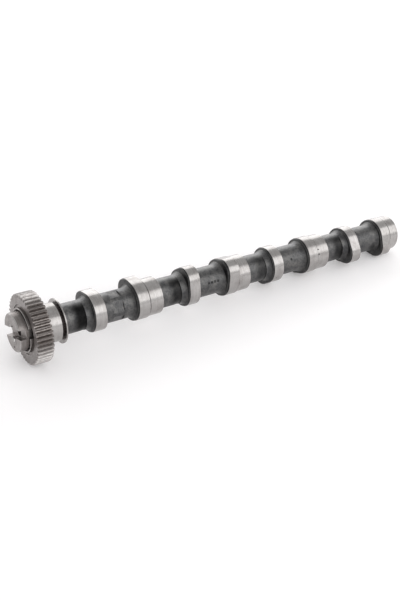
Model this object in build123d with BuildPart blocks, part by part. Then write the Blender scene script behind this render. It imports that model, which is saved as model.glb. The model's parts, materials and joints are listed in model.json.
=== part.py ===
from build123d import *
from math import acos, atan2, cos, degrees, pi, radians, sin, tan
import os

# One camshaft for a four-cylinder engine with two valves of one kind to each cylinder, cast
# in one piece and ground. Sizes are in millimetres and angles in degrees. The shaft is made
# lying along +X, with the front face of its gear at X = 0, its nose ahead of that and its
# journals and cams behind. Angles about the shaft start at +Y, turn towards +Z, and are
# zero at the tip of the first cam. The last block lays the shaft down as it comes to rest.

# Engine layout
bore_pitch = 86.0
first_cam = 53.5
second_cam_step = 38.4
cylinder_phases = (0.0, 90.0, -90.0, 180.0)
second_cam_lag = 13.4

# Shaft between the journals, as cast
barrel_radius = 12.3
corner_height = 1.2
corner_length = 1.0

# Cams: the first and the second of each cylinder
cam_width = 9.8
cam_base_radii = (16.0, 16.3)
cam_lifts = (4.0, 3.8)
cam_nose_radius = 11.3
cheek_thicknesses = (1.4, 2.0)
cheek_inset = 0.3
cheek_slope = 1.0
flare_length = 5.0
flare_radius = 14.2
flare_knee_length = 2.9
flare_knee_height = 0.5

# Journals
front_journal_radius = 15.5
front_journal_length = 12.6
journal_radius = 15.5
journal_length = 11.9
rear_journal_radius = 16.0
rear_journal_length = 9.8
rear_edge = 0.5
relief_width = 0.6
relief_depth = 0.4

# Thrust groove and the flange that closes it
thrust_groove_width = 1.9
thrust_groove_radius = 12.6
flange_radius = 18.0
flange_thickness = 1.2

# Drive gear
gear_module = 1.25
gear_teeth = 43
gear_width = 13.0
gear_edge = 0.5
pressure_angle = 20.0
tooth_addendum = 1.0
tooth_dedendum = 1.25

# Collar in the front face of the gear, and the locating notch across it
collar_radius = 17.7
collar_wall = 1.3
collar_height = 1.8
recess_radius = 20.0
recess_depth = 0.8
notch_width = 7.5
notch_depth = 3.0

# Nose with its drive slot
nose_radius = 15.45
nose_length = 9.0
nose_edge = 0.8
slot_width = 7.5
slot_depth = 5.5
slot_angle = 139.4

# Centre holes: a protecting chamfer, a 60 degree seat and a pilot drilling
guard_radius = 7.0
guard_depth = 1.2
centre_radius = 5.0
centre_slope = 30.0
pilot_radius = 2.0
pilot_depth = 12.0

# Hexagon between the first two cams, for a spanner
hexagon_across_flats = 22.7
hexagon_start = 70.9
hexagon_length = 9.3
hexagon_turn = 14.4

# Punched marks
mark_radius = 0.6
mark_depth = 0.5
timing_teeth = (13, 14)
gear_mark_distance = 26.8
nose_mark_distance = 11.2
nose_mark_angle = 233.2
seam_mark_angles = (137.4, 121.4)
seam_mark_offset = 1.5

# The tooth gap that faces the ground, counted back from the tip of the first cam
rest_gap = 13

# Worked out from the sizes above
pitch_radius = gear_module * gear_teeth / 2
tip_radius = pitch_radius + gear_module * tooth_addendum
root_radius = pitch_radius - gear_module * tooth_dedendum
involute_radius = pitch_radius * cos(radians(pressure_angle))
tooth_pitch = 360.0 / gear_teeth
groove_start = gear_width + front_journal_length
flange_start = groove_start + thrust_groove_width
flange_end = flange_start + flange_thickness


def cam_start(cylinder, second):
    return first_cam + cylinder * bore_pitch + second * second_cam_step


def journal_start(cylinder):
    return cam_start(cylinder, 1) + cam_width


def involute(angle):
    return tan(angle) - angle


def gap_half_angle(radius):
    """Half of the angle that a tooth gap takes up at a radius."""
    slope = acos(min(1.0, involute_radius / radius))
    tooth = pi / (2 * gear_teeth) + involute(radians(pressure_angle)) - involute(slope)
    return pi / gear_teeth - tooth


def on_circle(radius, angle):
    return (radius * cos(angle), radius * sin(angle))


def step(start, end, radius):
    """One turned step, as its half section from the axis out to its radius."""
    with BuildSketch() as section:
        with Locations((start, 0)):
            Rectangle(end - start, radius, align=(Align.MIN, Align.MIN))
    return section.sketch


def flare(cylinder, second):
    """The hollow slope that leads from the barrel up to the cheek of a cam."""
    face = cam_start(cylinder, second)
    top = face - cheek_thicknesses[second]
    foot = top - flare_length
    with BuildSketch() as section:
        with BuildLine():
            Polyline(
                (foot, 0),
                (foot, barrel_radius),
                (foot + flare_knee_length, barrel_radius + flare_knee_height),
                (top, flare_radius),
                (face, flare_radius),
                (face, 0),
                close=True,
            )
        make_face()
    return section.sketch


def cast_corner(wall):
    """The slope that the mould leaves where the back of a cam meets the barrel."""
    with BuildSketch() as section:
        with BuildLine():
            Polyline(
                (wall, 0),
                (wall, barrel_radius + corner_height),
                (wall + corner_length, barrel_radius),
                (wall + corner_length, 0),
                close=True,
            )
        make_face()
    return section.sketch


def lobe_outline(second, inset):
    """A cam's outline: a hull round its base circle and the circle at its tip."""
    base_radius = cam_base_radii[second]
    with BuildSketch() as outline:
        Circle(base_radius - inset)
        with Locations((base_radius + cam_lifts[second] - cam_nose_radius, 0)):
            Circle(cam_nose_radius - inset)
        make_hull()
    return outline.sketch


def face_mark(station, distance, angle):
    """Where a mark goes that is punched into a face square to the shaft."""
    return Plane((station, *on_circle(distance, radians(angle))), z_dir=(-1, 0, 0)).location


def rim_mark(station, radius, angle):
    """Where a mark goes that is punched into a round surface."""
    outward = (0, *on_circle(1, radians(angle)))
    return Plane((station, *on_circle(radius, radians(angle))), z_dir=outward).location


def centre_hole():
    """The half section of a centre hole whose mouth is at the origin."""
    seat_end = guard_depth + (centre_radius - pilot_radius) / tan(radians(centre_slope))
    bottom = seat_end + pilot_depth
    with BuildSketch() as section:
        with BuildLine():
            Polyline(
                (0, 0),
                (0, guard_radius),
                (guard_depth, centre_radius),
                (seat_end, pilot_radius),
                (bottom, pilot_radius),
                (bottom, 0),
                close=True,
            )
        make_face()
    return section.sketch


# A centre hole, as the tool that cuts it at both ends
with BuildPart() as centre_cutter:
    with BuildSketch(Plane.XY):
        add(centre_hole())
    revolve(axis=Axis.X)

# Each cam stands on its front face with its tip towards +X: the ground lobe, and ahead of it
# the cast cheek that the grinding leaves standing a little lower
with BuildPart() as first_lobe:
    with BuildSketch(Plane.XY):
        add(lobe_outline(0, 0))
    extrude(amount=cam_width)
    with BuildSketch(Plane.XY):
        add(lobe_outline(0, cheek_inset))
    extrude(amount=-cheek_thicknesses[0])
    chamfer(first_lobe.faces().sort_by(Axis.Z)[0].edges(), length=cheek_slope)

with BuildPart() as second_lobe:
    with BuildSketch(Plane.XY):
        add(lobe_outline(1, 0))
    extrude(amount=cam_width)
    with BuildSketch(Plane.XY):
        add(lobe_outline(1, cheek_inset))
    extrude(amount=-cheek_thicknesses[1])
    chamfer(second_lobe.faces().sort_by(Axis.Z)[0].edges(), length=cheek_slope)

# One gap between two teeth, pointing along +X, with involute flanks
with BuildSketch(Plane.XY) as tooth_gap:
    root_angle = gap_half_angle(root_radius)
    pitch_angle = gap_half_angle(pitch_radius)
    tip_angle = gap_half_angle(tip_radius)
    mouth_radius = tip_radius + gear_module
    with BuildLine():
        for side in (-1, 1):
            ThreePointArc(
                on_circle(root_radius, side * root_angle),
                on_circle(pitch_radius, side * pitch_angle),
                on_circle(tip_radius, side * tip_angle),
            )
        Polyline(
            on_circle(tip_radius, tip_angle),
            on_circle(mouth_radius, tip_angle),
            on_circle(mouth_radius, -tip_angle),
            on_circle(tip_radius, -tip_angle),
        )
        ThreePointArc(
            on_circle(root_radius, -root_angle),
            (root_radius, 0),
            on_circle(root_radius, root_angle),
        )
    make_face()

with BuildPart() as straight_shaft:
    # Everything that is round, turned in one go
    with BuildSketch(Plane.XY):
        last_journal = journal_start(len(cylinder_phases) - 1)
        shaft_end = last_journal + relief_width + rear_journal_length
        with BuildLine():
            Polyline(
                (-nose_length, 0),
                (-nose_length, nose_radius - nose_edge),
                (-nose_length + nose_edge, nose_radius),
                (recess_depth, nose_radius),
                (recess_depth, collar_radius - collar_wall),
                (-collar_height, collar_radius - collar_wall),
                (-collar_height, collar_radius),
                (recess_depth, collar_radius),
                (recess_depth, recess_radius),
                (0, recess_radius),
                (0, tip_radius - gear_edge),
                (gear_edge, tip_radius),
                (gear_width - gear_edge, tip_radius),
                (gear_width, tip_radius - gear_edge),
                (gear_width, 0),
                close=True,
            )
        make_face()
        add(step(gear_width, groove_start, front_journal_radius))
        add(step(groove_start, flange_start, thrust_groove_radius))
        add(step(flange_start, flange_end, flange_radius))
        add(step(flange_end, last_journal, barrel_radius))
        for cylinder in range(len(cylinder_phases)):
            add(flare(cylinder, 0))
            add(flare(cylinder, 1))
            add(cast_corner(cam_start(cylinder, 0) + cam_width))
            relief_end = journal_start(cylinder) + relief_width
            if cylinder < len(cylinder_phases) - 1:
                add(step(journal_start(cylinder), relief_end, journal_radius - relief_depth))
                journal_end = relief_end + journal_length
                add(step(relief_end, journal_end, journal_radius))
        add(step(last_journal, relief_end, rear_journal_radius - relief_depth))
        add(step(relief_end, shaft_end, rear_journal_radius))
    revolve(axis=Axis.X)
    chamfer(straight_shaft.faces().sort_by(Axis.X)[-1].edges(), length=rear_edge)

    # Teeth
    with BuildSketch(Plane.YZ):
        with PolarLocations(0, gear_teeth):
            add(tooth_gap.sketch)
    extrude(amount=gear_width, mode=Mode.SUBTRACT)

    # Cams
    for cylinder, phase in enumerate(cylinder_phases):
        face = Plane.YZ.offset(cam_start(cylinder, 0)).location
        with Locations(face * Rot(0, 0, phase)):
            add(first_lobe.part)
        face = Plane.YZ.offset(cam_start(cylinder, 1)).location
        with Locations(face * Rot(0, 0, phase + second_cam_lag)):
            add(second_lobe.part)

    # Hexagon
    with BuildSketch(Plane.YZ.offset(hexagon_start)):
        Circle(journal_radius)
        RegularPolygon(
            hexagon_across_flats / 2,
            6,
            major_radius=False,
            rotation=hexagon_turn,
            mode=Mode.SUBTRACT,
        )
    extrude(amount=hexagon_length, mode=Mode.SUBTRACT)

    # Drive slot across the nose, and the notch in the collar in line with it
    with BuildSketch(Plane.YZ.offset(-nose_length)):
        Rectangle(3 * nose_radius, slot_width, rotation=slot_angle)
    extrude(amount=slot_depth, mode=Mode.SUBTRACT)
    with BuildSketch(Plane.YZ.offset(-collar_height)):
        with Locations(on_circle((nose_radius + recess_radius) / 2, radians(slot_angle))):
            Rectangle(recess_radius - nose_radius, notch_width, rotation=slot_angle)
    extrude(amount=collar_height + notch_depth, mode=Mode.SUBTRACT)

    # Centre holes
    with Locations(Location((-nose_length, 0, 0)), Location((shaft_end, 0, 0), (0, 180, 0))):
        add(centre_cutter.part, mode=Mode.SUBTRACT)

    # Punched marks: on two teeth for timing, on the nose, and beside the third cylinder
    punched = [
        face_mark(0, gear_mark_distance, tooth_pitch * (tooth + 0.5)) for tooth in timing_teeth
    ]
    punched.append(face_mark(-nose_length, nose_mark_distance, nose_mark_angle))
    for angle in seam_mark_angles:
        punched.append(rim_mark(journal_start(2) + seam_mark_offset, journal_radius, angle))
    with Locations(punched):
        Cylinder(mark_radius, 2 * mark_depth, mode=Mode.SUBTRACT)

# At rest the shaft is turned until one tooth gap faces the ground, and dips until the two
# teeth beside that gap and the rear journal touch it
rest_turn = rest_gap * tooth_pitch - 90
gear_rest = tip_radius * cos(gap_half_angle(tip_radius))
rest_span = (shaft_end - rear_edge) - (gear_width - gear_edge)
rest_dip = degrees(atan2(gear_rest - rear_journal_radius, rest_span))
resting = Rot(0, rest_dip, 0) * Rot(rest_turn, 0, 0) * straight_shaft.part
ground = resting.bounding_box()

with BuildPart() as camshaft:
    with Locations((-ground.center().X, -ground.center().Y, -ground.min.Z)):
        add(resting)

camshaft.part.label = "camshaft"
os.makedirs("parts", exist_ok=True)
export_step(camshaft.part, "parts/camshaft.step")
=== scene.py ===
import json
import math
import bpy
import numpy as np
from mathutils import Matrix, Vector


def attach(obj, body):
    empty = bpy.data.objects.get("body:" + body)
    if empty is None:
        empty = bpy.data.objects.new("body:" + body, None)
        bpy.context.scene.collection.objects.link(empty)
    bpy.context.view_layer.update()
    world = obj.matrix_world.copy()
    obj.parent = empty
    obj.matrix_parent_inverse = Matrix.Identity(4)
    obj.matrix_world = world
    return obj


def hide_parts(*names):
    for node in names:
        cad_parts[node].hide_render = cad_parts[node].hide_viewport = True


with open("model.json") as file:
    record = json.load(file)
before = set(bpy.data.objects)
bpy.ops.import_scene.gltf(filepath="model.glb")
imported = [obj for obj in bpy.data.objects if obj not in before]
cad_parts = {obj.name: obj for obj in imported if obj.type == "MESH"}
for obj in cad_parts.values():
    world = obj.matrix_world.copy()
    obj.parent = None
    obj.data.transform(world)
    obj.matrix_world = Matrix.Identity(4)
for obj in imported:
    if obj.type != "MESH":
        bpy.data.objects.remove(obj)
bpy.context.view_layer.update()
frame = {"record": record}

mounts = {mount["name"]: mount for mount in frame["record"]["mounts"]}
mm = 0.001
sharpFrom = 32  # degrees between two faces from which their edge stays sharp

# How the shaft lies. Stations count back from the gear's front face along the shaft's axis, and
# angles turn about it from the tip of the first cam. All sizes are in mm and degrees.
lying = {"restGap": 13, "teeth": 43, "gearWidth": 13.0}
toothPitch = 2 * math.pi / lying["teeth"]
axisDir = np.array(mounts["rear_journal"]["axis"], float)
axisDir /= np.linalg.norm(axisDir)
gearFront = np.array(mounts["drive_gear"]["pos_m"], float) / mm - axisDir * lying["gearWidth"] / 2
dip = math.asin(-axisDir[2])
turn = math.radians(lying["restGap"] * 360 / lying["teeth"] - 90)
sideDir = np.array([math.sin(turn) * math.sin(dip), math.cos(turn), math.sin(turn) * math.cos(dip)])
topDir = np.cross(axisDir, sideDir)
print("frame loaded, the shaft dips", round(math.degrees(dip), 2), "degrees")


def place(station, y, z):
    # points of the shaft in metres as it lies: the middle of the gear's front, plus the station and
    # the two cross distances, each times its own direction
    station, y, z = np.broadcast_arrays(station, y, z)
    return (gearFront + station[..., None] * axisDir + y[..., None] * sideDir + z[..., None] * topDir) * mm


def onShaft(station, distance, angle):
    # one point, by its station, its distance from the axis and its angle about it in radians
    y, z = distance * math.cos(angle), distance * math.sin(angle)
    return place(np.array(station), np.array(y), np.array(z))


def gridFaces(rows, columns):
    # every four neighbours of the grid make one face; the last column meets the first
    row = np.arange(rows - 1)[:, None]
    column = np.arange(columns)[None, :]
    after = (column + 1) % columns
    corners = (row * columns + column, row * columns + after,
               (row + 1) * columns + after, (row + 1) * columns + column)
    return np.stack([np.broadcast_to(c, (rows - 1, columns)) for c in corners], -1).reshape(-1, 4)


def fanFaces(tip, start, count, forward=True):
    # one triangle from the tip to each side of a closed ring of points
    column = np.arange(count)
    after = (column + 1) % count
    pair = [start + column, start + after]
    return np.stack([np.full(count, tip), *(pair if forward else pair[::-1])], -1)


def turnedSolid(stations, across, upward):
    # a closed surface from rings in order along the shaft: the rings' points on the shaft's own
    # two cross axes, one row a ring, with one more point on the axis at each end to close it
    rows, columns = across.shape
    ends = place(np.array([stations[0], stations[-1]], float), np.zeros(2), np.zeros(2))
    points = place(np.asarray(stations, float)[:, None], across, upward).reshape(-1, 3)
    count = rows * columns
    caps = [fanFaces(count, 0, columns, forward=False), fanFaces(count + 1, count - columns, columns)]
    return np.vstack([points, ends]), [gridFaces(rows, columns), *caps]


def makePiece(name, points, faces, finishes, finishOf=None, marks=None):
    # one mesh from arrays: points (n, 3) in metres, faces as arrays of corners, a finish for each
    # face, and marks as named arrays with a value for each point
    mesh = bpy.data.meshes.new(name)
    mesh.vertices.add(len(points))
    mesh.vertices.foreach_set("co", np.ascontiguousarray(points, np.float32).ravel())
    sizes = np.concatenate([np.full(len(part), part.shape[1]) for part in faces])
    corners = np.concatenate([part.ravel() for part in faces])
    mesh.loops.add(len(corners))
    mesh.loops.foreach_set("vertex_index", corners.astype(np.int32))
    mesh.polygons.add(len(sizes))
    mesh.polygons.foreach_set("loop_start", np.concatenate(([0], np.cumsum(sizes)[:-1])).astype(np.int32))
    for finish in finishes:
        mesh.materials.append(finish)
    if finishOf is not None:
        mesh.polygons.foreach_set("material_index", np.asarray(finishOf, np.int32))
    mesh.update(calc_edges=True)
    mesh.validate()
    mesh.polygons.foreach_set("use_smooth", np.ones(len(sizes), bool))
    mesh.set_sharp_from_angle(angle=math.radians(sharpFrom))
    for markName, values in (marks or {}).items():
        layer = mesh.attributes.new(markName, "FLOAT", "POINT")
        layer.data.foreach_set("value", np.ascontiguousarray(values, np.float32))
    piece = bpy.data.objects.new(name, mesh)
    bpy.context.scene.collection.objects.link(piece)
    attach(piece, "root")
    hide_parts("camshaft")
    return piece


def boxTool(station, distance, angle, length, depth, width):
    # the eight corners of a block lying across the shaft: its length runs outwards at the angle
    corner = np.array([[i, j, k] for i in (0, 1) for j in (-0.5, 0.5) for k in (-0.5, 0.5)], float)
    along = station + corner[:, 0] * depth
    out = distance + corner[:, 1] * length
    side = corner[:, 2] * width
    c, s = math.cos(math.radians(angle)), math.sin(math.radians(angle))
    faces = np.array([[0, 1, 3, 2], [4, 6, 7, 5], [0, 4, 5, 1], [2, 3, 7, 6], [0, 2, 6, 4], [1, 5, 7, 3]])
    return place(along, out * c - side * s, out * s + side * c), [faces]


def slotTool(front, depth, width, length, angle, corner):
    # a prism across the nose whose profile widens at the mouth, so that it chamfers the slot's edges
    stations = front + np.array([-corner, corner, depth, depth, corner, -corner])
    wall = np.array([1, 1, 1, -1, -1, -1])
    side = np.array([2 * corner, 0, 0, 0, 0, 2 * corner]) * wall + width / 2 * wall
    out = np.array([-0.5, 0.5])[:, None] * length
    c, s = math.cos(math.radians(angle)), math.sin(math.radians(angle))
    points = place(stations[None, :], out * c - side * s, out * s + side * c).reshape(-1, 3)
    return points, [gridFaces(2, 6), np.array([[5, 4, 1, 0], [6, 7, 10, 11], [4, 3, 2, 1], [7, 8, 9, 10]])]


def punchTool(centrePoint, outward, radius, depth, sides=16):
    # a small cone frustum that reaches as far above the surface as it goes in below it; half way,
    # at the surface, it has the given radius
    outward = np.asarray(outward, float) / np.linalg.norm(outward)
    across = np.cross(outward, axisDir if abs(outward @ axisDir) < 0.9 else topDir)
    across /= np.linalg.norm(across)
    other = np.cross(outward, across)
    a = np.arange(sides)[:, None] * 2 * math.pi / sides
    ring = (np.cos(a) * across + np.sin(a) * other) * radius
    top, bottom = centrePoint + outward * depth * mm, centrePoint - outward * depth * mm
    points = np.vstack([top + 1.5 * ring * mm, bottom + 0.5 * ring * mm, top, bottom])
    caps = [fanFaces(2 * sides, 0, sides), fanFaces(2 * sides + 1, sides, sides, forward=False)]
    return points, [gridFaces(2, sides)[:, ::-1], *caps]


def cutAway(piece, tools, finish):
    # takes each tool's shape out of the piece; the cut walls get the given finish
    for points, faces in tools:
        mesh = bpy.data.meshes.new("tool")
        mesh.from_pydata(points.tolist(), [], [face for part in faces for face in part.tolist()])
        for slot in piece.data.materials:
            mesh.materials.append(slot)
        mesh.polygons.foreach_set("material_index", np.full(len(mesh.polygons), finish, np.int32))
        tool = bpy.data.objects.new("tool", mesh)
        bpy.context.scene.collection.objects.link(tool)
        cut = piece.modifiers.new("cut", "BOOLEAN")
        cut.operation = "DIFFERENCE"
        cut.solver = "EXACT"
        cut.object = tool
        graph = bpy.context.evaluated_depsgraph_get()
        result = bpy.data.meshes.new_from_object(piece.evaluated_get(graph))
        piece.modifiers.remove(cut)
        old = piece.data
        piece.data = result
        result.name = piece.name
        bpy.data.meshes.remove(old)
        bpy.data.objects.remove(tool)
    piece.data.set_sharp_from_angle(angle=math.radians(sharpFrom))


# The gear's sizes come before the finishes, because the painted shade on its teeth is measured by them
gear = {"module": 1.25, "pressure": 20.0, "addendum": 1.0, "dedendum": 1.25, "edge": 0.5,
        "rootWidth": 0.72, "rootRound": 0.3, "tipRound": 0.08, "tipTurn": 0.0035, "flankSteps": 6,
        "web": 0.8, "hidden": 1.5,
        "collar": 17.7, "wall": 1.3, "height": 1.8, "collarEdge": 0.2,
        "recess": 20.0, "recessDepth": 0.8, "recessEdge": 0.1, "notch": 7.5, "notchDepth": 3.0,
        "markDistance": 26.8, "markTeeth": (13, 14)}
pitchRadius = gear["module"] * lying["teeth"] / 2
tipRadius = pitchRadius + gear["module"] * gear["addendum"]
rootRadius = pitchRadius - gear["module"] * gear["dedendum"]


# Finishes. Patterns read Object coordinates turned onto the shaft's own axis.
def shaftCoordinates(nodes, links):
    # object coordinates with the dip taken out, so that X runs along the shaft
    coords = nodes.new("ShaderNodeTexCoord")
    level = nodes.new("ShaderNodeMapping")
    level.vector_type = "POINT"
    level.inputs["Location"].default_value = (-gearFront[0] * mm, 0, -gearFront[2] * mm)
    straight = nodes.new("ShaderNodeMapping")
    straight.inputs["Rotation"].default_value = (0, -dip, 0)
    links.new(coords.outputs["Object"], level.inputs["Vector"])
    links.new(level.outputs["Vector"], straight.inputs["Vector"])
    return straight.outputs["Vector"]


def turnedCoordinates(nodes, links, vector):
    # distance along the axis and distance from it: lines of equal value are tool marks
    parts = nodes.new("ShaderNodeSeparateXYZ")
    links.new(vector, parts.inputs["Vector"])
    flat = nodes.new("ShaderNodeCombineXYZ")
    links.new(parts.outputs["Y"], flat.inputs["Y"])
    links.new(parts.outputs["Z"], flat.inputs["Z"])
    away = nodes.new("ShaderNodeVectorMath")
    away.operation = "LENGTH"
    links.new(flat.outputs["Vector"], away.inputs[0])
    both = nodes.new("ShaderNodeCombineXYZ")
    links.new(parts.outputs["X"], both.inputs["X"])
    links.new(away.outputs["Value"], both.inputs["Y"])
    return both.outputs["Vector"]


def newFinish(name, metallic):
    # an empty material, with its nodes, its links and its shader at hand
    finish = bpy.data.materials.new(name)
    finish.use_nodes = True
    nodes, links = finish.node_tree.nodes, finish.node_tree.links
    shader = nodes["Principled BSDF"]
    shader.inputs["Metallic"].default_value = metallic
    return finish, nodes, links, shader


def noiseOf(nodes, links, vector, scale, detail, rough):
    # smooth noise between 0 and 1, with scale spots to the metre
    noise = nodes.new("ShaderNodeTexNoise")
    noise.inputs["Scale"].default_value = scale
    noise.inputs["Detail"].default_value = detail
    noise.inputs["Roughness"].default_value = rough
    links.new(vector, noise.inputs["Vector"])
    return noise.outputs["Fac"]


def rampOf(nodes, links, value, stops):
    # a colour for each value, from stops of a place and a colour
    ramp = nodes.new("ShaderNodeValToRGB")
    while len(ramp.color_ramp.elements) < len(stops):
        ramp.color_ramp.elements.new(0.5)
    for element, (position, colour) in zip(ramp.color_ramp.elements, stops):
        element.position = position
        element.color = (*colour, 1)
    links.new(value, ramp.inputs["Fac"])
    return ramp.outputs["Color"]


def productOf(nodes, links, first, second):
    # one colour times the other
    mix = nodes.new("ShaderNodeMix")
    mix.data_type = "RGBA"
    mix.blend_type = "MULTIPLY"
    mix.inputs["Factor"].default_value = 1.0
    links.new(first, mix.inputs["A"])
    links.new(second, mix.inputs["B"])
    return mix.outputs["Result"]


def roughnessOf(nodes, links, value, low, high, shader):
    # spreads the noise's middle range over the two roughnesses
    spread = nodes.new("ShaderNodeMapRange")
    spread.inputs["From Min"].default_value = 0.3
    spread.inputs["From Max"].default_value = 0.7
    spread.inputs["To Min"].default_value = low
    spread.inputs["To Max"].default_value = high
    links.new(value, spread.inputs["Value"])
    links.new(spread.outputs["Result"], shader.inputs["Roughness"])


def bumpOf(nodes, links, value, strength, distance, shader):
    # tilts the shading as if the surface stood out by the distance times the value
    bump = nodes.new("ShaderNodeBump")
    bump.inputs["Strength"].default_value = strength
    bump.inputs["Distance"].default_value = distance
    links.new(value, bump.inputs["Height"])
    links.new(bump.outputs["Normal"], shader.inputs["Normal"])


castLook = {"skin": ((0.32, (0.075, 0.075, 0.078)), (0.5, (0.115, 0.114, 0.114)),
                     (0.72, (0.18, 0.176, 0.17))),
            "flecks": ((0.38, (0.72, 0.72, 0.73)), (0.5, (1, 1, 1))),
            "smooth": 0.33, "dull": 0.46, "blotch": 190, "speck": 900, "grain": 1500,
            "bump": 0.3, "bumpHeight": 0.0003}


def makeCastIron():
    # as it left the mould: blotched dark skin and fine grain, times the shade mark, which mostly holds
    # painted shade and painted highlight
    finish, nodes, links, shader = newFinish("castIron", metallic=1.0)
    vector = shaftCoordinates(nodes, links)
    blotch = noiseOf(nodes, links, vector, castLook["blotch"], detail=5, rough=0.68)
    speck = noiseOf(nodes, links, vector, castLook["speck"], detail=2, rough=0.6)
    grain = noiseOf(nodes, links, vector, castLook["grain"], detail=2, rough=0.55)
    shade = nodes.new("ShaderNodeAttribute")
    shade.attribute_name = "shade"
    colour = productOf(nodes, links, rampOf(nodes, links, blotch, castLook["skin"]),
                       rampOf(nodes, links, speck, castLook["flecks"]))
    colour = productOf(nodes, links, colour, shade.outputs["Color"])
    links.new(colour, shader.inputs["Base Color"])
    roughnessOf(nodes, links, blotch, castLook["smooth"], castLook["dull"], shader)
    bumpOf(nodes, links, grain, castLook["bump"], castLook["bumpHeight"], shader)
    return finish


groundLook = {"dark": (0.37, 0.355, 0.348), "pale": (0.425, 0.412, 0.402),
              "smooth": 0.21, "dull": 0.28, "lines": 900, "cloud": 120, "bump": 0.12}
turnedLook = {"dark": (0.2, 0.182, 0.176), "pale": (0.33, 0.308, 0.298),
              "smooth": 0.3, "dull": 0.4, "lines": 1400, "cloud": 200, "bump": 0.2}
# the last entry of the next two finishes is the colour of the painted shade over one side of the teeth,
# lighter on the flanks than on the lands
hobbedLook = {"dark": (0.4, 0.38, 0.37), "pale": (0.52, 0.5, 0.488),
              "smooth": 0.4, "dull": 0.5, "lines": 500, "cloud": 260, "bump": 0.2,
              "paintedShade": (0.66, 0.63, 0.615)}
landLook = {"dark": (0.4, 0.382, 0.374), "pale": (0.52, 0.5, 0.49),
            "smooth": 0.28, "dull": 0.38, "lines": 700, "cloud": 260, "bump": 0.2,
            "paintedShade": (0.36, 0.34, 0.335)}
# nearly black: painted shade in the thrust groove, the nose's pilot hole, the notch and the punched marks
recessShadeLook = {"dark": (0.03, 0.026, 0.026), "pale": (0.11, 0.095, 0.093),
              "smooth": 0.36, "dull": 0.5, "lines": 700, "cloud": 320, "bump": 0.25}
# the cloud's stain is the metal's own; the three entries after bumpHeight place the painted shade on the
# gear's teeth: the side it faces, where it begins and where it is full
stainAndShadeLook = {"stain": ((0.34, (0.8, 0.785, 0.78)), (0.56, (1, 1, 1))), "bumpHeight": 0.0001,
             "shadeTowards": (0, -0.8, 0.6), "shadeFrom": 0.66, "shadeFull": 0.86}


def makeMachinedIron(name, look):
    # cut or ground metal: fine lines round the axis under a faint cloud of stain and oil, and on the gear's
    # teeth painted shade over one side
    finish, nodes, links, shader = newFinish(name, metallic=1.0)
    vector = shaftCoordinates(nodes, links)
    rounds = turnedCoordinates(nodes, links, vector)
    lines = noiseOf(nodes, links, rounds, look["lines"], detail=3, rough=0.6)
    cloud = noiseOf(nodes, links, vector, look["cloud"], detail=4, rough=0.6)
    colour = rampOf(nodes, links, lines, ((0.35, look["dark"]), (0.65, look["pale"])))
    colour = productOf(nodes, links, colour, rampOf(nodes, links, cloud, stainAndShadeLook["stain"]))
    if "paintedShade" in look:
        # painted shade, brownish, over one side of the teeth: how far a point lies towards the given
        # direction, as a share of the gear's tip radius, says how much of it the point has
        facing = nodes.new("ShaderNodeVectorMath")
        facing.operation = "DOT_PRODUCT"
        facing.inputs[1].default_value = np.array(stainAndShadeLook["shadeTowards"]) / (tipRadius * mm)
        links.new(vector, facing.inputs[0])
        paintedShade = rampOf(nodes, links, facing.outputs["Value"],
                      ((stainAndShadeLook["shadeFrom"], (1, 1, 1)), (stainAndShadeLook["shadeFull"], look["paintedShade"])))
        colour = productOf(nodes, links, colour, paintedShade)
    links.new(colour, shader.inputs["Base Color"])
    roughnessOf(nodes, links, cloud, look["dull"], look["smooth"], shader)
    bumpOf(nodes, links, lines, look["bump"], stainAndShadeLook["bumpHeight"], shader)
    return finish


finishes = [makeCastIron(), makeMachinedIron("groundIron", groundLook),
            makeMachinedIron("turnedIron", turnedLook), makeMachinedIron("hobbedIron", hobbedLook),
            makeMachinedIron("toothLand", landLook), makeMachinedIron("paintedShadeRecess", recessShadeLook)]
# recess is the finish of painted shade in grooves, holes and marks
cast, ground, turned, hobbed, land, recess = range(len(finishes))
print("finishes made")

# Everything behind the gear: journals, barrel and cams
engine = {"borePitch": 86.0, "firstCam": 53.5, "secondCam": 38.4, "phases": (0.0, 90.0, -90.0, 180.0),
          "lag": 13.4, "barrel": 12.3, "cornerHeight": 1.2, "cornerLength": 1.0, "ringStep": 1.5,
          "clear": 1.0}
# the hollow ahead of each first cam: it faces the side angle and its opposite, and has a painted shade
# for each cylinder, darkest by the cheek; pale is a painted highlight that brightens the skin between the
# two sides
pocket = {"long": 13.0, "deep": 0.5, "side": 151.0, "sideFrom": 0.15, "sideRun": 0.5,
          "shade": (0.1, 0.26, 0.42, 0.3), "darkens": 1.8, "pale": 0.5, "rings": 13}
# the four shades multiply the cast skin: the flare's, from foot to cheek, is painted shade; the cheek's and
# the rim's are partly a darker skin and partly painted shade
lobe = {"width": 9.8, "base": (16.0, 16.3), "lift": (4.0, 3.8), "nose": 11.3, "edge": 0.18,
        "cheek": (1.4, 2.0), "inset": 0.3, "round": 1.0, "flareLength": 5.0, "flareTop": 14.2,
        "flareLean": 0.15, "flarePower": 2.6, "flareStart": 0.03, "flareRings": 8, "rimFrom": 1.2,
        "footShade": 1.0, "flareShade": 0.55, "cheekShade": 0.6, "rimShade": 0.28}
journal = {"front": 15.5, "middle": 15.5, "rear": 16.0, "length": 11.9, "rearLength": 9.8,
           "edge": 0.18, "rearEdge": 0.5, "relief": 0.6, "reliefDepth": 0.4, "reliefEdge": 0.12}
thrust = {"start": 25.6, "width": 1.9, "radius": 12.6, "flange": 18.0, "thick": 1.2, "edge": 0.15}
hexagon = {"flats": 22.7, "start": 70.9, "length": 9.3, "turn": 14.4, "step": 0.01}
centre = {"guard": 7.0, "guardDepth": 1.2, "seat": 5.0, "slope": 30.0, "pilot": 2.0, "pilotDepth": 12.0,
          "bottom": 0.01}
seatDepth = (centre["seat"] - centre["pilot"]) / math.tan(math.radians(centre["slope"]))
seatEnd = centre["guardDepth"] + seatDepth
around = 192
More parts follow.
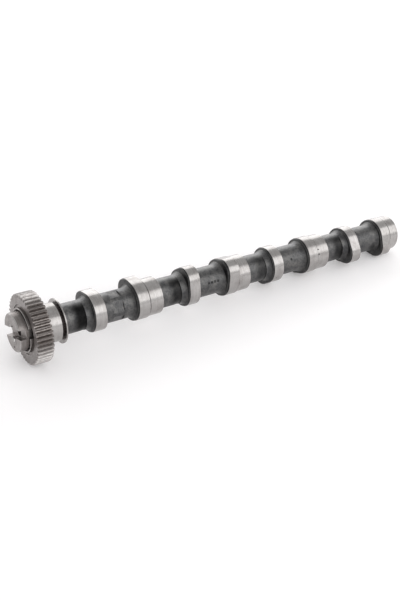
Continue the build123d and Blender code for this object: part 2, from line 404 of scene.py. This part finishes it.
roundSteps = 6  # rings in a rounded corner
angles = np.arange(around) * 2 * math.pi / around


def smoothRise(t):
    # from 0 to 1, level at both ends: three t squared less two t cubed
    t = np.clip(t, 0, 1)
    return t * t * (3 - 2 * t)


def lobeRadius(inset, phase, second):
    # the distance from the axis to the outline that a thread pulled round the base circle and
    # the nose circle makes: the base arc, two straight flanks and the nose arc
    base, tip = lobe["base"][second] - inset, lobe["nose"] - inset
    reach = lobe["base"][second] + lobe["lift"][second] - lobe["nose"]
    a = np.abs((angles - math.radians(phase) + math.pi) % (2 * math.pi) - math.pi)
    lean = math.acos((base - tip) / reach)
    meet = math.atan2(tip * math.sin(lean), reach + tip * math.cos(lean))
    noseArc = reach * np.cos(a) + np.sqrt(np.maximum(tip ** 2 - (reach * np.sin(a)) ** 2, 0))
    flank = base / np.cos(np.minimum(a, lean) - lean)
    return np.where(a < meet, noseArc, np.where(a < lean, flank, base))


def hexRadius():
    # the distance from the axis to a six-sided outline, never more than the barrel's radius
    a = (angles - math.radians(hexagon["turn"] + 30)) % (math.pi / 3)
    a = np.minimum(a, math.pi / 3 - a)
    return np.minimum(hexagon["flats"] / 2 / np.cos(math.pi / 6 - a), engine["barrel"])


class Rings:
    # rings of the surface in order along the shaft; the finish is that of the band behind a ring,
    # and the shade, painted shade and painted highlight, multiplies the cast skin's colour
    def __init__(self):
        self.stations, self.radii, self.finish, self.shade = [], [], [], []

    def add(self, station, radius, finish=cast, shade=1.0):
        # a single radius or shade holds for the whole ring
        self.stations.append(station)
        self.radii.append(np.broadcast_to(np.asarray(radius, float), (around,)))
        self.finish.append(finish)
        self.shade.append(np.broadcast_to(np.asarray(shade, float), (around,)))


rings = Rings()


def castFillet(wall):
    # the hollow corner behind a square wall, a quarter of an ellipse
    t = np.linspace(0, math.pi / 2, roundSteps)
    for station, radius in zip(wall + engine["cornerLength"] * (1 - np.cos(t)),
                               engine["barrel"] + engine["cornerHeight"] * (1 - np.sin(t))):
        rings.add(station, radius)


def barrelRun(start, end, radius=engine["barrel"]):
    # rings of one outline, evenly spaced from start to end and about a ring step apart
    for station in np.linspace(start, end, max(2, int((end - start) / engine["ringStep"]))):
        rings.add(station, radius, cast, skin)


def castHollow(start, end, shade):
    # on two opposite sides the barrel sinks with the cube of the way, and painted shade darkens it sooner
    # than it sinks
    for t in np.linspace(0, 1, pocket["rings"] + 1)[1:]:
        dark = (1 - shade) * smoothRise(pocket["darkens"] * t) * sides
        rings.add(end - (end - start) * (1 - t), engine["barrel"] - pocket["deep"] * t ** 3 * sides,
                  cast, skin * (1 - dark))


def castFlare(foot):
    # it leaves the barrel gently and steepens towards the cheek: a little of the way and more of a power of
    # the way, times the rise; painted shade darkens it towards the cheek
    rise = lobe["flareTop"] - engine["barrel"]
    for t in (lobe["flareStart"], *np.linspace(0, 1, lobe["flareRings"] + 1)[1:]):
        bend = lobe["flareLean"] * t + (1 - lobe["flareLean"]) * t ** lobe["flarePower"]
        rings.add(foot + lobe["flareLength"] * t, engine["barrel"] + rise * bend,
                  cast, skin * (lobe["footShade"] + (lobe["flareShade"] - lobe["footShade"]) * t))


def addCam(back, face, phase, second):
    # the cheek, with a rounded corner and a flat rim on the lobe's outline, then the ground band; the cheek
    # and its rim are darker, partly their own skin and partly painted shade
    for t in np.linspace(0, math.pi / 2, roundSteps):
        inset = lobe["inset"] + lobe["round"] * (1 - math.sin(t))
        rings.add(back + lobe["round"] * (1 - math.cos(t)), lobeRadius(inset, phase, second), cast,
                  lobe["cheekShade"] if t < lobe["rimFrom"] else lobe["rimShade"])
    rings.add(face, lobeRadius(lobe["inset"], phase, second), cast, lobe["rimShade"])
    rings.add(face, lobeRadius(lobe["edge"], phase, second), ground)
    rings.add(face + lobe["edge"], lobeRadius(0, phase, second), ground)
    rings.add(face + lobe["width"] - lobe["edge"], lobeRadius(0, phase, second), ground)
    rings.add(face + lobe["width"], lobeRadius(lobe["edge"], phase, second), cast)


def addJournal(start, radius, length, edge):
    # a turned relief, then the ground band; gives back the station of its end
    begin = start + journal["relief"]
    rings.add(start + journal["reliefEdge"], radius - journal["reliefDepth"], turned)
    rings.add(begin - journal["reliefEdge"], radius - journal["reliefDepth"], turned)
    rings.add(begin, radius - journal["edge"], ground)
    rings.add(begin + journal["edge"], radius, ground)
    rings.add(begin + length - edge, radius, ground)
    rings.add(begin + length, radius - edge, ground)
    return begin + length


flangeStart = thrust["start"] + thrust["width"]
flangeEnd = flangeStart + thrust["thick"]
for station, radius, finish in (
        (lying["gearWidth"], journal["front"], ground),
        (thrust["start"] - journal["edge"], journal["front"], ground),
        (thrust["start"], journal["front"] - journal["edge"], ground),
        # the thrust groove, in painted shade
        (thrust["start"], thrust["radius"], recess),
        (flangeStart, thrust["radius"], ground),
        (flangeStart, thrust["flange"] - thrust["edge"], ground),
        (flangeStart + thrust["edge"], thrust["flange"], ground),
        (flangeEnd - thrust["edge"], thrust["flange"], ground),
        (flangeEnd, thrust["flange"] - thrust["edge"], ground)):
    rings.add(station, radius, finish)
castFillet(flangeEnd)

# the hollows lie on two opposite sides; between them the skin is paler by a painted highlight
towardsSide = np.abs(np.cos(angles - math.radians(pocket["side"])))
sides = smoothRise((towardsSide - pocket["sideFrom"]) / pocket["sideRun"])
# skin: 1 on the two sides and up to one and a half between them, as painted highlight
skin = 1 + pocket["pale"] * (1 - sides)
for cylinder, basePhase in enumerate(engine["phases"]):
    for second in (0, 1):
        face = engine["firstCam"] + cylinder * engine["borePitch"] + second * engine["secondCam"]
        back = face - lobe["cheek"][second]
        foot = back - lobe["flareLength"]
        barrelStart = rings.stations[-1] + engine["clear"]
        if second == 0:
            barrelRun(barrelStart, foot - pocket["long"])
            castHollow(foot - pocket["long"], foot, pocket["shade"][cylinder])
        elif cylinder == 0:
            hexEnd = hexagon["start"] + hexagon["length"]
            barrelRun(barrelStart, hexagon["start"] - hexagon["step"])
            barrelRun(hexagon["start"], hexEnd, hexRadius())
            barrelRun(hexEnd + hexagon["step"], foot)
        else:
            barrelRun(barrelStart, foot)
        castFlare(foot)
        addCam(back, face, basePhase + second * engine["lag"], second)
        if second == 0:
            castFillet(face + lobe["width"])
    if cylinder < len(engine["phases"]) - 1:
        castFillet(addJournal(face + lobe["width"], journal["middle"], journal["length"], journal["edge"]))
shaftEnd = addJournal(face + lobe["width"], journal["rear"], journal["rearLength"], journal["rearEdge"])
pilotEnd = seatEnd + centre["pilotDepth"]
for depth, radius in ((0, centre["guard"]), (centre["guardDepth"], centre["seat"]),
                      (seatEnd, centre["pilot"]), (pilotEnd, centre["pilot"]),
                      (pilotEnd, centre["bottom"])):
    rings.add(shaftEnd - depth, radius, ground)
radii = np.array(rings.radii)
points, faces = turnedSolid(rings.stations, radii * np.cos(angles), radii * np.sin(angles))
bandFinish = np.concatenate([np.repeat(rings.finish[:-1], around), np.full(2 * around, ground)])
shade = np.concatenate([*rings.shade, [1.0, 1.0]])
shaftPiece = makePiece("shaft", points, faces, finishes, bandFinish, marks={"shade": shade})

# punched marks: two beside the third cylinder here, one each on two teeth and on the nose below
punch = {"radius": 0.95, "depth": 0.8, "seamRadius": 0.65, "seamDepth": 0.5, "seamFrom": 1.5,
         "seamAngles": (137.4, 121.4)}
thirdJournal = engine["firstCam"] + 2 * engine["borePitch"] + engine["secondCam"] + lobe["width"]
tools = []
for angle in np.radians(punch["seamAngles"]):
    outward = math.cos(angle) * sideDir + math.sin(angle) * topDir
    tools.append(punchTool(onShaft(thirdJournal + punch["seamFrom"], journal["middle"], angle), outward,
                           punch["seamRadius"], punch["seamDepth"]))
# the marks' walls are painted shade
cutAway(shaftPiece, tools, recess)
print("shaft made,", len(shaftPiece.data.polygons), "faces")

# the foundry's cavity marks: a plain row of raised pips between the cams of the second cylinder and
# one behind the third's first cam, each a cap that starts below the skin
pips = {"at": ((160.0, 137.0), (163.0, 137.0), (166.0, 137.0), (169.0, 137.0), (246.8, 131.0)),
        "radius": 1.15, "high": 0.4, "sunk": 0.15, "shade": 0.42, "rings": 5, "sides": 14}
u, v = np.meshgrid(np.linspace(0, math.pi / 2, pips["rings"] + 1)[1:],
                   np.arange(pips["sides"]) * 2 * math.pi / pips["sides"], indexing="ij")
sunkRadius = engine["barrel"] - pips["sunk"]
capPoints, capFaces = [], []
for count, (station, angle) in enumerate(pips["at"]):
    # across by the sine of the polar angle, up by its cosine
    outward = sunkRadius + (pips["high"] + pips["sunk"]) * np.cos(u)
    sideways = pips["radius"] * np.sin(u) * np.cos(v)
    c, s = math.cos(math.radians(angle)), math.sin(math.radians(angle))
    capPoints.append(place(station + pips["radius"] * np.sin(u) * np.sin(v), outward * c - sideways * s,
                           outward * s + sideways * c).reshape(-1, 3))
    for height in (engine["barrel"] + pips["high"], sunkRadius):
        capPoints.append(onShaft(station, height, math.radians(angle))[None])
    first, size = count * (u.size + 2), u.size
    capFaces += [first + gridFaces(pips["rings"], pips["sides"])[:, ::-1],
                 first + fanFaces(size, 0, pips["sides"]),
                 first + fanFaces(size + 1, size - pips["sides"], pips["sides"], forward=False)]
capPoints = np.vstack(capPoints)
makePiece("cavityMarks", capPoints, capFaces, finishes[:1],
          marks={"shade": np.full(len(capPoints), pips["shade"])})
print("cavity marks made")


# The gear with its collar, and the nose in front of it. web is how far inside the roots the gear's
# faces are flat rings, and hidden how far its rear face reaches in under the front journal.
def involute(a):
    # the angle by which a thread unwound from the base circle runs ahead: its tangent less itself
    return np.tan(a) - a


def gearOutline():
    # half the angle of a tooth gap at a radius comes from the involute; the outline goes from root
    # to tip on one side of the gap and its mirror on the other, for every tooth
    pressure = math.radians(gear["pressure"])
    r = np.linspace(rootRadius + gear["rootRound"], tipRadius - gear["tipRound"], gear["flankSteps"])
    slope = np.arccos(np.minimum(1, pitchRadius * math.cos(pressure) / r))
    half = toothPitch / 4 - involute(pressure) + involute(slope)
    across = np.concatenate([[0, half[0] * gear["rootWidth"]], half,
                             [half[-1] + gear["tipTurn"], toothPitch / 2]])
    out = np.concatenate([[rootRadius, rootRadius], r, [tipRadius, tipRadius]])
    across = np.concatenate([-across[-2:0:-1], across])
    out = np.concatenate([out[-2:0:-1], out])
    gaps = np.arange(lying["teeth"])[:, None] * toothPitch
    return (gaps + across).ravel(), np.tile(out, lying["teeth"])


nose = {"radius": 15.45, "length": 9.0, "edge": 0.8, "slot": 7.5, "slotDepth": 5.5, "slotEdge": 0.35,
        "angle": 139.4, "seat": 5.4, "seatEnd": 7.6, "pilot": 2.7, "bottom": 0.4,
        "markDistance": 11.2, "markAngle": 233.2}
gearAngles, gearRadii = gearOutline()
noseFront = -nose["length"]
collarFront = -gear["height"]
collarInside = gear["collar"] - gear["wall"]
collarEdge = gear["collarEdge"]
# station, radius and finish of the band behind it, from the nose's centre hole out and back; the pilot hole
# is painted shade
profile = [(noseFront + pilotEnd, nose["bottom"], recess), (noseFront + pilotEnd, nose["pilot"], recess),
           (noseFront + nose["seatEnd"], nose["pilot"], recess),
           (noseFront + centre["guardDepth"], nose["seat"], ground), (noseFront, centre["guard"], turned),
           (noseFront, nose["radius"] - nose["edge"], ground),
           (noseFront + nose["edge"], nose["radius"], turned),
           (gear["recessDepth"], nose["radius"], turned), (gear["recessDepth"], collarInside, turned),
           (collarFront + collarEdge, collarInside, ground),
           (collarFront, collarInside + collarEdge, turned),
           (collarFront, gear["collar"] - collarEdge, ground),
           (collarFront + collarEdge, gear["collar"], turned),
           (gear["recessDepth"], gear["collar"], turned), (gear["recessDepth"], gear["recess"], turned),
           (gear["recessEdge"], gear["recess"], ground), (0, gear["recess"] + gear["recessEdge"], turned),
           (0, rootRadius - gear["web"], turned)]
# the teeth: the outline held back to a limit at each end, which chamfers the tips
rim = [(0, tipRadius - gear["edge"]), (gear["edge"], tipRadius),
       (lying["gearWidth"] - gear["edge"], tipRadius), (lying["gearWidth"], tipRadius - gear["edge"])]
rear = [(lying["gearWidth"], rootRadius - gear["web"]),
        (lying["gearWidth"], journal["front"] - gear["hidden"])]
frontStations = [row[0] for row in profile + rim + rear]
frontRadii = np.array([np.full(gearAngles.size, row[1]) for row in profile]
                      + [np.minimum(gearRadii, limit) for station, limit in rim]
                      + [np.full(gearAngles.size, radius) for station, radius in rear])
points, faces = turnedSolid(frontStations, frontRadii * np.cos(gearAngles), frontRadii * np.sin(gearAngles))
onLand = np.minimum(gearRadii, np.roll(gearRadii, -1)) > tipRadius - 2 * gear["tipRound"]
bands = [np.full(gearAngles.size, row[2]) for row in profile]
bands += [np.where(onLand, land, hobbed)] * 3 + [np.full(gearAngles.size, turned)] * 4
frontPiece = makePiece("gearAndNose", points, faces, finishes, np.concatenate(bands))

slot = slotTool(noseFront, nose["slotDepth"], nose["slot"], 3 * nose["radius"], nose["angle"],
                nose["slotEdge"])
cutAway(frontPiece, [slot], turned)
ahead = 2  # how far the notch's tool starts ahead of the collar
tools = [boxTool(collarFront - ahead, (nose["radius"] + gear["recess"]) / 2, nose["angle"],
                 gear["recess"] - nose["radius"], ahead + gear["height"] + gear["notchDepth"],
                 gear["notch"])]
faceMarks = [(0.0, gear["markDistance"], (tooth + 0.5) * toothPitch) for tooth in gear["markTeeth"]]
faceMarks.append((noseFront, nose["markDistance"], math.radians(nose["markAngle"])))
for station, distance, angle in faceMarks:
    tools.append(punchTool(onShaft(station, distance, angle), -axisDir, punch["radius"], punch["depth"]))
# the walls of the notch and of the marks are painted shade
cutAway(frontPiece, tools, recess)
print("gear made,", len(frontPiece.data.polygons), "faces")

cameraView = {"position": (-380.831, -531.206, 425.929), "right": (0.84268515, -0.53668873, 0.04297605),
              "up": (0.26461857, 0.48236008, 0.83504836), "back": (-0.46889097, -0.6923106, 0.54849548),
              "lens": 81.0, "sensor": 36, "farthest": 20}
cameraData = bpy.data.cameras.new("camera")
cameraData.sensor_width = cameraView["sensor"]
cameraData.sensor_fit = "HORIZONTAL"
cameraData.lens = cameraView["lens"]
cameraData.clip_end = cameraView["farthest"]
cameraObject = bpy.data.objects.new("camera", cameraData)
aim = Matrix((cameraView["right"], cameraView["up"], cameraView["back"])).transposed().to_4x4()
cameraObject.matrix_world = Matrix.Translation(Vector(cameraView["position"]) * mm) @ aim
bpy.context.scene.collection.objects.link(cameraObject)
bpy.context.scene.camera = cameraObject
bpy.context.scene.view_settings.view_transform = "Standard"
print("camera set")

# A pale table in a pale room with a darker ceiling, and two large soft lamps on stands, one on
# each side of the shaft
studio = {"wall": 1.0, "ceiling": 0.66, "wallTop": 0.1, "ceilingFrom": 0.75, "table": (0.9, 0.885, 0.89),
          "tableRough": 0.7, "tableShine": 0.1, "tableGlow": 0.13, "tableSize": 2.0}
world = bpy.data.worlds.new("studio")
bpy.context.scene.world = world
world.use_nodes = True
nodes, links = world.node_tree.nodes, world.node_tree.links
direction = nodes.new("ShaderNodeTexCoord")
height = nodes.new("ShaderNodeSeparateXYZ")
links.new(direction.outputs["Generated"], height.inputs["Vector"])
room = nodes.new("ShaderNodeMapRange")
room.inputs["From Min"].default_value = studio["wallTop"]
room.inputs["From Max"].default_value = studio["ceilingFrom"]
room.inputs["To Min"].default_value = studio["wall"]
room.inputs["To Max"].default_value = studio["ceiling"]
links.new(height.outputs["Z"], room.inputs["Value"])
links.new(room.outputs["Result"], nodes["Background"].inputs["Strength"])
nodes["Background"].inputs["Color"].default_value = (1, 1, 1, 1)

half = studio["tableSize"] / 2
tableMesh = bpy.data.meshes.new("table")
tableCorners = [(-half, -half, 0), (half, -half, 0), (half, half, 0), (-half, half, 0)]
tableMesh.from_pydata(tableCorners, [], [(0, 1, 2, 3)])
table = bpy.data.objects.new("table", tableMesh)
bpy.context.scene.collection.objects.link(table)
tableFinish, nodes, links, shader = newFinish("paleTable", metallic=0.0)
shader.inputs["Base Color"].default_value = (*studio["table"], 1)
shader.inputs["Roughness"].default_value = studio["tableRough"]
shader.inputs["Specular IOR Level"].default_value = studio["tableShine"]
shader.inputs["Emission Color"].default_value = (1, 1, 1, 1)
# a faint glow for the camera and for reflections alone keeps the table white
rays = nodes.new("ShaderNodeLightPath")
seen = rays.outputs["Is Camera Ray"]
for other in ("Is Glossy Ray", "Is Transmission Ray"):
    either = nodes.new("ShaderNodeMath")
    either.operation = "MAXIMUM"
    links.new(seen, either.inputs[0])
    links.new(rays.outputs[other], either.inputs[1])
    seen = either.outputs[0]
glow = nodes.new("ShaderNodeMath")
glow.operation = "MULTIPLY"
glow.inputs[1].default_value = studio["tableGlow"]
links.new(seen, glow.inputs[0])
links.new(glow.outputs[0], shader.inputs["Emission Strength"])
tableMesh.materials.append(tableFinish)

# where each lamp stands: compass angle from +X, height angle, distance, width, height, brightness
lamps = {"frontLamp": {"compass": -72, "height": 36, "away": 1.1, "wide": 2.4, "tall": 0.8, "bright": 1.2},
         "backLamp": {"compass": 72, "height": 22, "away": 1.3, "wide": 2.6, "tall": 0.9, "bright": 1.5}}
for lampName, look in lamps.items():
    lampData = bpy.data.lights.new(lampName, "AREA")
    lampData.shape = "RECTANGLE"
    lampData.size, lampData.size_y = look["wide"], look["tall"]
    lampData.energy = look["bright"] * math.pi * look["wide"] * look["tall"]
    lamp = bpy.data.objects.new(lampName, lampData)
    compass, up = math.radians(look["compass"]), math.radians(look["height"])
    towards = Vector((math.cos(up) * math.cos(compass), math.cos(up) * math.sin(compass), math.sin(up)))
    lamp.location = towards * look["away"]
    lamp.rotation_euler = (-lamp.location).to_track_quat("-Z", "Y").to_euler()
    lamp.visible_camera = False
    bpy.context.scene.collection.objects.link(lamp)
print("studio set")
